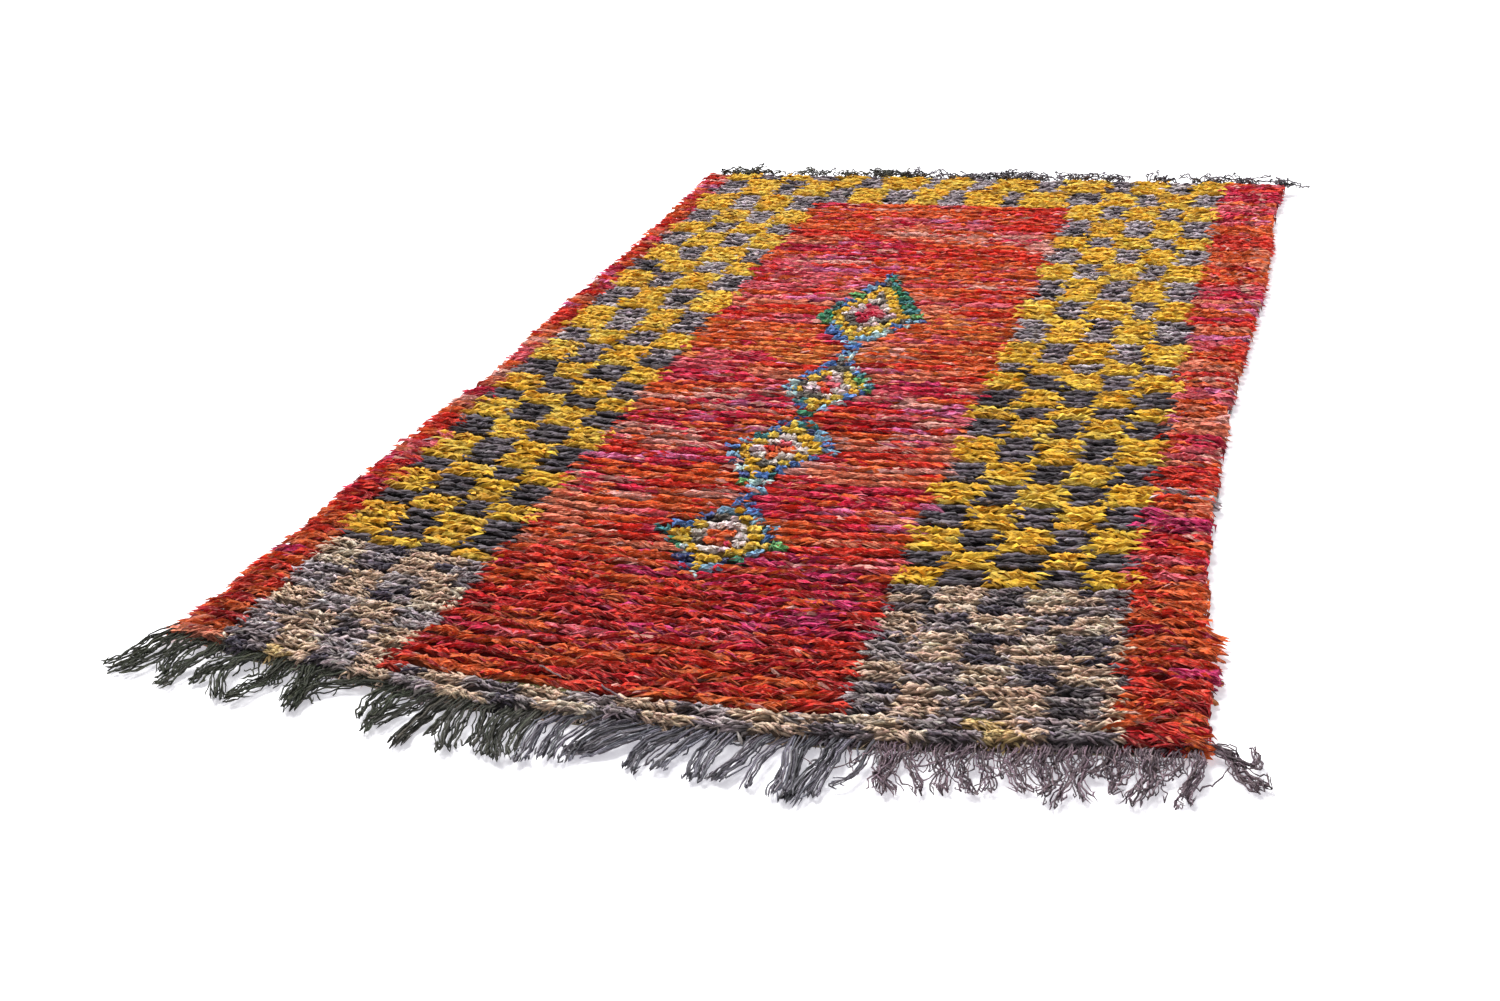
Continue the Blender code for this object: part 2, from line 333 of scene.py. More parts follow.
fieldZones = (  # shares of each dye from the near end up to a y
    (0.10, {"red": 42, "orange": 24, "deepRed": 26, "crimson": 6, "pink": 2}),
    (0.30, {"red": 34, "orange": 20, "deepRed": 24, "crimson": 12, "magenta": 5, "pink": 5}),
    (0.50, {"red": 18, "orange": 36, "crimson": 8, "pink": 8, "salmon": 14, "deepRed": 6, "paleRose": 10}),
    (0.72, {"red": 14, "orange": 36, "crimson": 8, "pink": 8, "salmon": 16, "lilac": 6, "paleRose": 12}),
    (0.99, {"red": 16, "orange": 28, "crimson": 12, "pink": 14, "salmon": 14, "lilac": 6, "paleRose": 10}),
    (1.19, {"amber": 38, "orange": 28, "red": 10, "salmon": 14, "pink": 6, "crimson": 4}),
    (1.50, {"orange": 24, "red": 16, "pink": 14, "salmon": 14, "crimson": 10, "lilac": 10, "paleRose": 12}),
    (1.70, {"orange": 32, "red": 20, "salmon": 12, "crimson": 8, "pink": 12, "lilac": 8, "paleRose": 8}),
    (3.00, {"orange": 33, "red": 24, "salmon": 12, "crimson": 9, "pink": 12, "lilac": 4, "paleRose": 6}),
)
bandZones = (
    (0.30, {"red": 28, "orange": 42, "deepRed": 14, "crimson": 6, "magenta": 5, "salmon": 5}),
    (0.55, {"red": 34, "deepRed": 16, "crimson": 14, "orange": 26, "pink": 6, "salmon": 4}),
    (1.20, {"red": 18, "orange": 34, "crimson": 8, "pink": 12, "salmon": 18, "paleRose": 10}),
    (3.00, {"red": 20, "orange": 34, "crimson": 12, "pink": 12, "salmon": 12, "lilac": 4, "paleRose": 6}),
)
patches = metres((  # x from and to, y from and to, and the dye there
    (675, 712, 995, 1092, "paleRose"), (712, 872, 995, 1092, "orange"), (703, 875, 462, 492, "lilac"),
    (830, 882, 420, 450, "lilac"), (640, 875, 500, 560, "crimson"), (665, 800, 310, 348, "magenta"),
    (628, 870, 246, 288, "crimson"), (328, 480, 905, 960, "crimson"), (328, 525, 722, 782, "crimson"),
    (328, 500, 655, 722, "paleRose"), (462, 505, 686, 728, "deepRed"), (405, 490, 600, 624, "lilac"),
    (652, 770, 750, 788, "deepRed"), (340, 560, 1378, 1475, "pink"), (328, 560, 1188, 1221, "pink"),
    (328, 560, 1052, 1184, "orange"), (690, 870, 1306, 1332, "pink"), (665, 790, 1124, 1164, "pink"),
    (640, 872, 1650, 1730, "paleRose"), (730, 872, 1760, 1890, "red"), (330, 420, 130, 190, "deepRed"),
    (1180, 1280, 588, 632, "mauvePale"), (1173, 1270, 490, 522, "magenta"), (1184, 1270, 732, 764, "pink"),
    (1194, 1290, 978, 1000, "lilac"), (1186, 1212, 300, 322, "tan"), (1230, 1290, 134, 156, "magenta"),
    (575, 640, 40, 100, "orange"), (700, 830, 150, 200, "magenta"), (450, 560, 240, 290, "orange"),
    (340, 450, 480, 530, "crimson"), (540, 602, 512, 532, "paleRose"), (680, 760, 492, 508, "orange"),
    (640, 722, 440, 482, "crimson"), (660, 760, 286, 312, "orange"), (500, 566, 262, 286, "magenta"),
    (508, 536, 286, 300, "paleRose"), (450, 582, 786, 832, "paleRose"), (500, 545, 722, 748, "amber"),
    (440, 502, 738, 762, "lilac"), (668, 752, 716, 750, "orange"), (690, 800, 688, 716, "paleRose"),
    (700, 800, 630, 652, "orange"), (480, 582, 1000, 1100, "amber"), (480, 535, 872, 930, "pink"),
    (515, 560, 822, 872, "crimson"), (650, 722, 1044, 1072, "paleRose"), (655, 745, 976, 998, "lilac"),
    (735, 800, 925, 950, "magenta"), (500, 590, 1462, 1480, "paleRose"), (645, 700, 1395, 1450, "pink"),
    (700, 872, 1180, 1250, "amber"), (330, 430, 1480, 1560, "pink"), (600, 740, 1740, 1830, "pink"),
    (312, 500, 1747, 1879, "orange"), (600, 872, 1560, 1640, "red"), (620, 872, 1415, 1540, "orange"),
    (461, 595, 1545, 1670, "crimson"),
))
checkRows = {  # the row where each check begins
    "left": (1, 5, 7, 10, 13, 14, 18, 20, 23, 25, 29, 32, 35, 37, 40, 43, 47, 50, 55, 60, 64, 67, 71, 75,
             78, 82, 87, 92),
    "right": (2, 5, 7, 10, 12, 15, 17, 19, 22, 25, 28, 31, 35, 38, 40, 43, 46, 48, 52, 57, 61, 66, 70, 74,
              77, 82, 86, 90),
}
checkColumns = metres({
    "left": (60, 130, 195, 261, 328),
    "right": (875, 936, 996, 1057, 1112, 1173),
})
farRows = (85, 90)  # the two courses of checks over the field's far end
farBorder = metres({
    "low": (316, 386, 461, 526, 586, 647, 717, 768, 860),
    "high": (302, 377, 437, 526, 572, 628, 684, 773, 838, 903),
})
diamonds = metres((  # left, far, right and near corners
    ((511, 1232), (603, 1474), (709, 1226), (607, 1081)),
    ((544, 905), (614, 1054), (706, 908), (617, 788)),
    ((527, 658), (615, 792), (706, 667), (595, 537)),
    ((515, 388), (624, 484), (711, 363), (610, 259)),
))
# where each ring of a diamond begins, as a share of the way from its middle to its rim
ringShares = {"edge": 1.03, "yellow": 0.77, "bone": 0.53, "heart": 0.27}
neck = {"x": 0.616, "half": 0.014, "from": 0.45, "to": 1.15}  # the thin string between diamonds
tipBelow = 0.287
greenSpots = metres((  # the green parts of the outer rings
    (500, 535, 365, 410), (540, 562, 325, 362), (685, 720, 350, 380), (650, 670, 305, 330),
    (572, 600, 535, 565), (635, 655, 540, 560), (590, 640, 785, 815), (530, 560, 945, 970),
    (500, 540, 885, 930), (685, 720, 890, 930), (655, 680, 940, 980), (490, 545, 1200, 1320),
    (600, 715, 1240, 1490), (540, 575, 1320, 1370),
))


def pick(shares):
    names = list(shares)
    weights = np.array([shares[name] for name in names], float)
    return names[dice.choice(len(names), p=weights / weights.sum())]


def zoneShares(zones, y):
    for upTo, shares in zones:
        if y < upTo:
            return shares
    return zones[-1][1]


def inBoxes(boxes, x, y):
    return any(x0 < x < x1 and y0 < y < y1 for x0, x1, y0, y1 in boxes)


def diamondRing(x, y):
    # the ring of the string of diamonds that a knot falls in, or nothing
    best = math.inf
    for corners in diamonds:
        places = np.array(corners)
        middle = (places[0] + places[2]) / 4.0 + (places[1] + places[3]) / 4.0
        for first, second in zip(places, np.roll(places, -1, axis=0)):
            spokes = np.stack([first - middle, second - middle], 1)
            shares = np.linalg.solve(spokes, np.array([x, y]) - middle)
            if shares.min() >= 0.0:
                best = min(best, shares.sum())
    inNeck = abs(x - neck["x"]) < neck["half"] and neck["from"] < y < neck["to"]
    if best > ringShares["edge"] and not inNeck:
        return None
    if best > ringShares["yellow"]:
        if y < tipBelow:
            return "tip"
        return "ringGreen" if inBoxes(greenSpots, x, y) else "ringBlue"
    if best > ringShares["bone"]:
        return "ringYellow"
    return "ringBone" if best > ringShares["heart"] else "heart"


def checkMix(side, x, y, row):
    columns = checkColumns[side]
    column = int(np.searchsorted(columns, x)) - 1
    course = int(np.searchsorted(checkRows[side], row, side="right")) - 1
    light = (course + column) % 2 == 1
    coarse = course >= (4 if side == "left" else 5)
    if not coarse:
        return "beige" if light else ("greyPale" if side == "left" else "grey")
    if light:
        return "yellow"
    return "dark" if y < 1.0 else "mauve"


def chart(x, y, row):
    # the mix of dyes for one knot, "field" and "band" standing for the red ground
    if x < checkColumns["left"][0]:
        return "band"
    if x > checkColumns["right"][-1] + max(0.0, 0.026 - 0.07 * y):
        return "band"
    if row == 0 or (row == 1 and x > 0.33):
        return ("beige", "grey")[int((x + 0.034 * row) / 0.066) % 2]
    if x < checkColumns["left"][-1] - max(0.0, 0.026 - 0.3 * y):
        return checkMix("left", x, y, row)
    if x > checkColumns["right"][0] + max(0.0, 0.010 - 0.1 * y):
        return checkMix("right", x, y, row)
    if row >= farRows[0]:
        high = row >= farRows[1]
        edges = farBorder["high" if high else "low"]
        number = int(np.searchsorted(edges, x)) - 1
        return ("yellow", "mauve")[(number + (0 if high else 1)) % 2]
    return diamondRing(x, y) or "field"


chances = {"asBelow": 0.20, "patch": 0.66, "stray": 0.05}
runLengths = {"far": (3, 16), "near": (3, 12), "coarse": (1, 4), "fine": (2, 5)}  # knots in one dye


def chooseDyes(x, y, rows):
    # reds go by the run, as a rag lasts; the rest is picked knot by knot
    mixNames = []
    chosen = []
    run = 0
    current = "red"
    last = "band"
    for number, (px, py, row) in enumerate(zip(x, y, rows)):
        name = chart(px, py, row)
        mixNames.append(name)
        if name != last:
            run = 0
            last = name
        if name in ("field", "band"):
            if run <= 0:
                current = pick(zoneShares(fieldZones if name == "field" else bandZones, py))
                below = number - rug["knots"]
                if below >= 0 and mixNames[below] == name and dice.random() < chances["asBelow"]:
                    current = chosen[below]
                run = int(dice.integers(*runLengths["far" if py > 0.7 else "near"]))
            run -= 1
            dye = current
            for x0, x1, y0, y1, patch in patches:
                if x0 < px < x1 and y0 < py < y1 and dice.random() < chances["patch"]:
                    dye = patch
            if dice.random() < chances["stray"]:
                dye = pick(zoneShares(fieldZones, py))
            chosen.append(dye)
        else:
            if run <= 0:
                current = pick(mixes[name])
                coarse = name in ("mauve", "dark", "yellow")
                run = int(dice.integers(*runLengths["coarse" if coarse else "fine"]))
            run -= 1
            chosen.append(current)
    return np.array(mixNames), np.array([dyeNames.index(name) for name in chosen])


rowNumber, knotNumber = np.meshgrid(np.arange(rug["rows"]), np.arange(rug["knots"]), indexing="ij")
rowNumber = rowNumber.ravel()
knotNumber = knotNumber.ravel()
across = (knotNumber + 0.5 + dice.uniform(-0.25, 0.25, len(knotNumber))) / rug["knots"]
knotX, knotY = rugPoint(across, (rowNumber + 0.5) / rug["rows"])
knotMix, knotDye = chooseDyes(knotX, knotY, rowNumber)
drift = np.cumsum(dice.normal(0.0, 0.4, (rug["rows"] + 1, 2)), axis=0)


def meander(x, row):
    # how far a row strays along the rug
    return 0.0016 * np.sin(x * 24.0 + drift[row, 0]) + 0.0008 * np.sin(x * 64.0 + drift[row, 1])


knotY = knotY + meander(knotX, rowNumber)
print("knots charted:", len(knotX))


# The knots: strips that cross a row's rope from its back over the top to its front

# for each kind of strip: how many to a knot, its size, how far it slants along the row, its place over
# the rope (lane), its unevenness, how much shade is painted on it in the grooves, and how its dye varies
tuftParts = ("strips", "length", "width", "thick", "slant", "lane", "wiggle", "lift", "smooth", "crumple",
             "groove", "puff", "gain", "mixed", "apart", "spread")
tuftTable = {
    "rag": (4, (0.028, 0.050), (0.0038, 0.0056), (0.0028, 0.0042), (0.91, 1.0), 0.55, 0.0008, 0.0006,
            False, 0.0009, 1.34, 1.0, 1.70, 0.13, 5.0, 0.30),
    "motif": (4, (0.014, 0.023), (0.0058, 0.0080), (0.0044, 0.0058), (0.50, 0.98), 0.66, 0.0012, 0.0022,
              False, 0.0009, 1.05, 1.02, 1.36, 0.20, 2.0, 0.28),
    "leaf": (4, (0.027, 0.043), (0.0064, 0.0090), (0.0024, 0.0036), (0.62, 0.99), 0.80, 0.0007, 0.0050,
             False, 0.0006, 0.90, 1.04, 1.36, 0.35, 3.0, 0.30),
    "roving": (3, (0.022, 0.036), (0.0054, 0.0074), (0.0048, 0.0060), (0.90, 1.0), 0.66, 0.0010, 0.0006,
               True, 0.0004, 0.95, 0.97, 1.28, 0.35, 3.0, 0.24),
    "wisp": (3, (0.018, 0.034), (0.0048, 0.0068), (0.0036, 0.0050), (0.70, 1.0), 0.80, 0.0014, 0.0012,
             True, 0.0005, 0.85, 0.97, 1.26, 0.30, 2.0, 0.20),
    "curl": (6, (0.018, 0.032), (0.0033, 0.0048), (0.0030, 0.0042), (0.66, 1.0), 0.88, 0.0024, 0.0016,
             True, 0.0008, 0.36, 1.0, 1.28, 0.14, 1.5, 0.20),
}
tuftKinds = {kind: dict(zip(tuftParts, parts)) for kind, parts in tuftTable.items()}
tuftKinds["rag"]["extra"] = 1  # one strip more where the pile is seen from nearby
kindOfMix = {"field": "rag", "band": "rag", "yellow": "leaf", "dark": "roving", "mauve": "wisp",
             "beige": "curl", "grey": "curl", "greyPale": "curl"}  # the diamonds' mixes are all "motif"
# the rope that a row of packed knots makes, and how a strip swells from its root on it
rope = {"halfPitch": 0.0096, "axis": 0.0080, "height": 0.0145, "root": 0.74, "rate": 1.9, "full": 1.35,
        "crest": 0.0290, "foot": 0.003, "steepest": 1.45}
stripShapes = {
    "rag": {"sides": 3, "rings": ((0.0, 0.60), (0.34, 1.05), (0.74, 0.95))},
    "motif": {"sides": 4, "rings": ((0.0, 0.55), (0.30, 1.0), (0.70, 0.95))},
    "leaf": {"sides": 3, "rings": ((0.0, 0.55), (0.32, 1.0), (0.68, 1.08))},
    "roving": {"sides": 3, "rings": ((0.0, 0.80), (0.34, 1.05), (0.76, 0.95))},
    "wisp": {"sides": 3, "rings": ((0.0, 0.80), (0.34, 1.0), (0.72, 0.9))},
    "curl": {"sides": 3, "rings": ((0.0, 0.8), (0.36, 1.0), (0.74, 0.9))},
}
strips = {kind: modelStrip("strip_" + kind, shape) for kind, shape in stripShapes.items()}
pileLooks = {
    "rag": yarnLook("dyed_rag", 0.88, 0.06, 4.0, 1.7, 0.0018, (0.90, 0.44, 0.34), 0.40),
    "motif": yarnLook("dyed_wool", 0.88, 0.08, 5.0, 1.2, 0.0013, (0.72, 0.66, 0.60), 0.25),
    "leaf": yarnLook("yellow_rag", 0.86, 0.08, 5.0, 1.1, 0.0013, (0.86, 0.62, 0.18), 0.35),
    "roving": yarnLook("carded_roving", 0.92, 0.08, 9.0, 1.7, 0.0012, (0.40, 0.36, 0.39), 0.45),
    "wisp": yarnLook("teased_wool", 0.92, 0.08, 7.0, 1.1, 0.0012, (0.40, 0.36, 0.39), 0.45),
    "curl": yarnLook("curled_wool", 0.95, 0.10, 6.0, 1.2, 0.0013, (0.62, 0.54, 0.47), 0.30),
}


def leanings(rows, x):
    # strips along a stretch of a row mostly lean the same way
    phase = dice.uniform(0.0, 2.0 * math.pi, rug["rows"])[rows]
    drive = np.sin(x * 34.0 + phase) + 0.7 * np.sin(x * 83.0 + 2.0 * phase)
    return np.where(drive + dice.normal(0.0, 0.8, len(x)) > 0.0, 1.0, -1.0)


def toned(dye, spread, gain):
    # each strip's own shade of its dye, held under full white without a change of hue
    count = len(dye)
    tone = np.exp(dice.normal(0.0, spread, count))[:, None] * (1.0 + dice.normal(0.0, 0.035, (count, 3)))
    dye = dye * tone * np.reshape(gain, (-1, 1))
    return dye * np.minimum(1.0, 0.92 / dye.max(axis=1, keepdims=True))


wear = {"nearTo": 0.45, "nearOver": 0.30, "farFrom": 0.70, "farOver": 0.70, "sideShare": 0.022,
        "shift": 0.0032, "ragged": 0.0022}  # how the rag loosens to both ends and in the side bands
# the shade and light painted on a strip by its swell, and by the angle around the rope from back to front
shading = {"base": 1.06, "back": ((0.84, 0.96, 1.1), (0.50, 0.96, 1.10)),
           "round": ((-1.2, -0.7, 0.0, 0.45, 0.8, 1.2), (0.30, 0.80, 1.15, 1.02, 0.50, 0.24))}


def knotStrips(kind, picked):
    # spines, outward directions, sizes and dyes, with shade painted in, of all strips of the picked knots
    look = tuftKinds[kind]
    strip = strips[kind]
    isRag = kind == "rag"
    many = np.repeat(picked, look["strips"] + look.get("extra", 0) * (knotY[picked] < wear["farFrom"]))
    inBand = knotMix[many] == "band"
    count = len(many)
    x0 = knotX[many] + dice.uniform(-0.004, 0.004, count) * (0.5 if kind == "motif" else 1.0)
    y0 = knotY[many]
    hand = leanings(rowNumber[many], x0)
    edge = across[many]
    hand = np.where(edge < wear["sideShare"], -1.0, np.where(edge > 1.0 - wear["sideShare"], 1.0, hand))
    length = dice.uniform(*look["length"], count)
    slant = dice.uniform(*look["slant"], count)
    farther = np.clip((y0 - wear["farFrom"]) / wear["farOver"], 0.0, 1.0)
    nearShare = (wear["nearTo"] - y0) / wear["nearOver"]
    nearer = np.clip(nearShare, 0.0, 1.0) * isRag
    loose = np.maximum(np.clip(nearShare, 0.30, 1.0), np.maximum(farther, 0.8 * inBand)) * isRag
    untidy = np.maximum(0.6 * nearer, 0.9 * inBand)
    slant = slant * (1.0 - 0.30 * untidy * dice.random(count))
    y0 = y0 + untidy * dice.normal(0.0, wear["shift"], count)
    runX = hand * slant * length
    runArc = np.sqrt(np.maximum(length ** 2 - runX ** 2, 1e-8)) / rope["height"]
    lane = dice.uniform(-1.0, 1.0, count)
    middleAngle = 0.12 + (look["lane"] + 0.20 * loose + 0.06 * nearer) * lane
    angle0 = middleAngle - 0.5 * runArc  # from a rope's back, over its top, to its front
    angle1 = np.minimum(middleAngle + 0.5 * runArc, rope["steepest"])
    t = strip["places"][None, :]
    swellBack = np.clip(dice.normal(1.0, 0.06 + 0.05 * loose, count), 0.80, 1.16)[:, None]
    swell = (1.0 - rope["root"]) * np.sin(np.minimum(t * rope["rate"], rope["full"]))
    rise = rope["root"] + swell / math.sin(rope["full"])
    lift = dice.uniform(0.0, 1.0, count)[:, None] * look["lift"] * t ** 2
    radius = rise * swellBack * look["puff"]
    angle = angle0[:, None] + (angle1 - angle0)[:, None] * t
    start = x0 - 0.42 * runX
    bends = dice.uniform(4.0, 9.0, count)[:, None]
    phase = dice.uniform(0.0, 6.3, count)[:, None]
    wave = (look["wiggle"] + 0.0008 * loose)[:, None] * np.sin(t * bends + phase) * t
    x = start[:, None] + runX[:, None] * t + wave * 0.6
    low, high = (limit[:, None] for limit in outline(y0) + dice.normal(0.0, wear["ragged"], (2, count)))
    over = np.maximum(x - high, 0.0) + np.maximum(low - x, 0.0)
    x = np.clip(x, low, high)
    y = y0[:, None] - (rope["halfPitch"] * radius + lift + wave) * np.sin(angle)
    z = rope["axis"] + (rope["height"] * radius + lift + wave) * np.cos(angle) - 0.7 * over
    z = np.where(z > rope["crest"], rope["crest"] + 0.5 * (z - rope["crest"]), z)
    outward = np.stack([np.zeros_like(angle), -np.sin(angle), np.cos(angle)], -1)
    spine = np.stack([x, y, np.maximum(z, rope["foot"])], -1)
    width = dice.uniform(*look["width"], count) * (1.0 + 0.34 * farther)
    thick = dice.uniform(*look["thick"], count) * (1.0 + 0.10 * farther)
    twist = dice.normal(0.0, 0.55, count)
    stray = dice.random(count) < look["mixed"] - 0.05 * farther + 0.18 * nearer
    rowsAway = rug["knots"] * dice.integers(-2, 3, count) * (nearer > 0.2)
    neighbour = many + np.rint(dice.normal(0.0, look["apart"], count)).astype(int) + rowsAway
    neighbour = np.clip(neighbour, 0, len(knotX) - 1)
    neighbour = np.where(knotMix[neighbour] == knotMix[many], neighbour, many)
    dye = dyeLight[knotDye[np.where(stray, neighbour, many)]]
    fleck = dice.random(count) * isRag  # pale and deep single strips
    dye = np.where((fleck > 0.985 - 0.030 * farther)[:, None], dyeLight[dyeNames.index("paleRose")], dye)
    dye = np.where((abs(fleck - 0.5) < 0.025)[:, None], dyeLight[dyeNames.index("deepRed")], dye)
    dye = toned(dye, look["spread"] + 0.02 * farther, look["gain"] * (1.0 - 0.05 * farther * isRag))
    # painted shade: darker to a strip's root, on strips sunk low in the rope and down the rope's front into
    # the groove, lighter on the crest; hush makes the near end and the side bands a little darker
    hush = (1.0 - 0.17 * nearer - 0.05 * inBand)[:, None]
    along = hush * (0.42 + 0.65 * np.minimum(t * 1.8, 1.0)) * np.interp(swellBack, *shading["back"])
    grooveShade = np.interp(angle, *shading["round"]) - shading["base"]
    grooveShade = shading["base"] + grooveShade * (look["groove"] * (1.0 - 0.30 * loose))[:, None]
    shades = dye[:, None, :] * (along * grooveShade)[..., None]
    return spine, outward, width, thick, twist, shades


# the row ends along the sides, and the hem at the near end
teeth = {"strips": 8, "inset": 0.014, "top": (0.009, 0.0205), "tip": (0.0035, 0.0125), "ragged": 0.0024,
         "wide": 1.35, "half": 0.0105, "bow": 0.007}
hem = {"strips": 3, "length": (0.003, 0.015), "height": (0.006, 0.016), "tip": 0.0040, "fan": 0.009}


def edgeStrips(kind, picked, turned):
    # strips that point outwards and droop: row ends along the sides if turned, else the hem
    strip = strips[kind]
    look = tuftKinds[kind]
    edge = teeth if turned else hem
    many = np.repeat(picked, edge["strips"])
    count = len(many)
    t = strip["places"][None, :]
    if turned:
        left = across[many] < 0.5
        hand = np.where(left, -1.0, 1.0)
        low, high = outline(knotY[many])
        edgeX = rugPoint(np.where(left, 0.0, 1.0), (rowNumber[many] + 0.5) / rug["rows"])[0]
        startX = edgeX - hand * edge["inset"]
        aside = dice.uniform(-edge["half"], edge["half"], count)
        bow = edge["bow"] * (aside / edge["half"]) ** 2
        end = np.where(left, low, high) + hand * (dice.normal(0.001, edge["ragged"], count) - bow)
        start = np.stack([startX, knotY[many] + aside], -1)
        away = np.stack([end - startX, -aside * dice.uniform(0.0, 0.5, count) - 0.001], -1)
        top = dice.uniform(*edge["top"], count)[:, None]
        tip = dice.uniform(*edge["tip"], count)[:, None]
    else:
        length = dice.uniform(*edge["length"], count)
        start = np.stack([knotX[many] + dice.uniform(-0.006, 0.006, count), knotY[many] - 0.004], -1)
        away = np.stack([dice.normal(0.0, edge["fan"], count), -length], -1)
        top = dice.uniform(*edge["height"], count)[:, None]
        tip = edge["tip"]
    wave = look["wiggle"] * np.sin(t * 6.0 + dice.uniform(0.0, 6.3, count)[:, None]) * t
    x = start[:, :1] + away[:, :1] * t + wave
    y = start[:, 1:] + away[:, 1:] * t + wave
    z = tip + np.maximum(top - tip, 0.001) * np.cos(np.minimum(1.0, t) * 1.45) ** 0.7 + wave
    spine = np.stack([x, y, np.maximum(z, rope["foot"])], -1)
    dye = toned(dyeLight[knotDye[many]], 0.26, 1.30)
    # painted shade: each strip is darker to its root, and the lower it stands the darker it is painted
    shades = dye[:, None, :] * (0.60 + 0.45 * np.minimum(t * 1.6, 1.0))[..., None]
    shades = shades * (0.55 + 0.5 * np.clip(top / 0.016, 0.3, 1.0))[..., None]
    width = dice.uniform(*look["width"], count) * (teeth["wide"] if turned else 1.0)
    thick = dice.uniform(*look["thick"], count)
    return spine, upward(spine), width, thick, dice.normal(0.0, 0.6, count), shades


def together(first, second):
    return tuple(np.concatenate(pair) for pair in zip(first, second))


pilePieces = []
knotKind = np.array([kindOfMix.get(name, "motif") for name in knotMix])
sideKnot = (knotNumber == 0) | (knotNumber == rug["knots"] - 1)
shareOut = {"rag": 3, "motif": 1, "leaf": 1, "roving": 1, "wisp": 1, "curl": 1}
for kind, parts in shareOut.items():
    for part in range(parts):
        picked = np.nonzero((knotKind == kind) & (rowNumber % parts == part))[0]
        made = knotStrips(kind, picked)
        made = together(made, edgeStrips(kind, picked[sideKnot[picked]], True))
        made = together(made, edgeStrips(kind, picked[rowNumber[picked] == 0], False))
        name = "knots_" + kind + ("_" + str(part + 1) if parts > 1 else "")
        piece = joinStrips(name, strips[kind], *made, pileLooks[kind], tuftKinds[kind]["smooth"],
                           tuftKinds[kind]["crumple"])
        pilePieces.append(piece)
        print(name, len(piece.data.polygons), "triangles")


# The bed: the roots of the knots under the strips, a ribbed slab in the pile's colours

# offset, height and painted shade, darkest in the groove and lightest on the crest: at a row's groove,
# front, crest and back
bed = {"columns": 56, "floor": 0.0034, "inset": 0.002,
       "offset": (0.0, 0.17, 0.5, 0.83), "height": (0.0050, 0.0120, 0.0182, 0.0120),
       "shade": (0.03, 0.20, 0.60, 0.22)}


def closeBelow(piece, floorHeight):
    # the open edge is drawn down to the floor height and filled
    bpy.context.view_layer.objects.active = piece
    piece.select_set(True)
    bpy.ops.object.mode_set(mode="EDIT")
    bpy.ops.mesh.select_all(action="SELECT")
    bpy.ops.mesh.region_to_loop()
    bpy.ops.mesh.extrude_edges_move(TRANSFORM_OT_translate={"value": (0.0, 0.0, -1.0)})
    bpy.ops.mesh.edge_face_add()
    bpy.ops.mesh.select_all(action="SELECT")
    bpy.ops.mesh.quads_convert_to_tris()
    bpy.ops.mesh.normals_make_consistent(inside=False)
    bpy.ops.object.mode_set(mode="OBJECT")
    for vert in piece.data.vertices:
        if vert.co.z < -0.5:
            vert.co.z = floorHeight
    piece.select_set(False)


lines = 4 * rug["rows"]  # a groove, a front, a crest and a back to each row
bpy.ops.mesh.primitive_grid_add(x_subdivisions=bed["columns"], y_subdivisions=lines, size=1.0)
knotBed = bpy.context.object
knotBed.name = "knot_bed"
co = np.array([v.co for v in knotBed.data.vertices])
shareX = co[:, 0] + 0.5
line = np.rint((co[:, 1] + 0.5) * lines).astype(int)
level = line % 4
bedRow = np.minimum(line // 4, rug["rows"] - 1)
shareY = (line // 4 + np.array(bed["offset"])[level]) / rug["rows"]
bedX, bedY = rugPoint(shareX, shareY)
bedY = bedY + meander(bedX, line // 4)
co[:, 0] = bedX - rug["middle"][0]
co[:, 1] = bedY - rug["middle"][1]
co[:, 2] = np.array(bed["height"])[level] + dice.uniform(-0.0012, 0.0012, len(co))
atSide = np.abs(shareX - 0.5) > 0.499
atEnd = (line == 0) | (line == lines)
co[:, 2] = np.where(atSide | atEnd, 0.0045, co[:, 2])
co[:, 0] -= np.where(atSide, np.sign(shareX - 0.5) * bed["inset"], 0.0)
co[:, 1] -= np.where(atEnd, np.sign(shareY - 0.5) * bed["inset"], 0.0)
store(knotBed.data.vertices, "co", co)
knotBed.select_set(False)
closeBelow(knotBed, bed["floor"])
extra = len(knotBed.data.vertices) - len(co)
nearKnot = np.clip((shareX * rug["knots"]).astype(int), 0, rug["knots"] - 1)
# painted shade: the bed's sides and underside, under the pile, are painted near black
paint = np.full((len(co) + extra, 4), 0.04, np.float32)
# the top takes each knot's dye times the shade painted at the groove, front, crest or back
shade = np.array(bed["shade"])[level][:, None] * dice.normal(1.0, 0.12, (len(co), 1))
paint[:len(co), :3] = dyeLight[knotDye[bedRow * rug["knots"] + nearKnot]] * shade
store(knotBed.data.attributes.new("dye", "FLOAT_COLOR", "POINT").data, "color", paint)


def layFromAbove(piece):
    # both UV maps seen from above
    mesh = piece.data
    while mesh.uv_layers:
        mesh.uv_layers.remove(mesh.uv_layers[0])
    corner = np.zeros(len(mesh.loops), np.int32)
    mesh.loops.foreach_get("vertex_index", corner)
    place = np.array([v.co for v in mesh.vertices])
    span = np.ptp(place[:, :2], axis=0)
    flat = (place[:, :2] - place[:, :2].min(0)) / span
    store(mesh.uv_layers.new(name="OFBake").data, "uv", flat[corner])
    alongRow = place[corner][:, [1, 0]] * 160.0
    store(mesh.uv_layers.new(name="lay").data, "uv", alongRow)


layFromAbove(knotBed)
knotBed.data.materials.append(yarnLook("packed_roots", 0.95, 0.1, 3.0, 1.1, 0.0022))
pilePieces.append(knotBed)
print("bed laid:", len(knotBed.data.polygons), "triangles")


# The ground: the woven sheet that the knots are tied on, with its selvedges

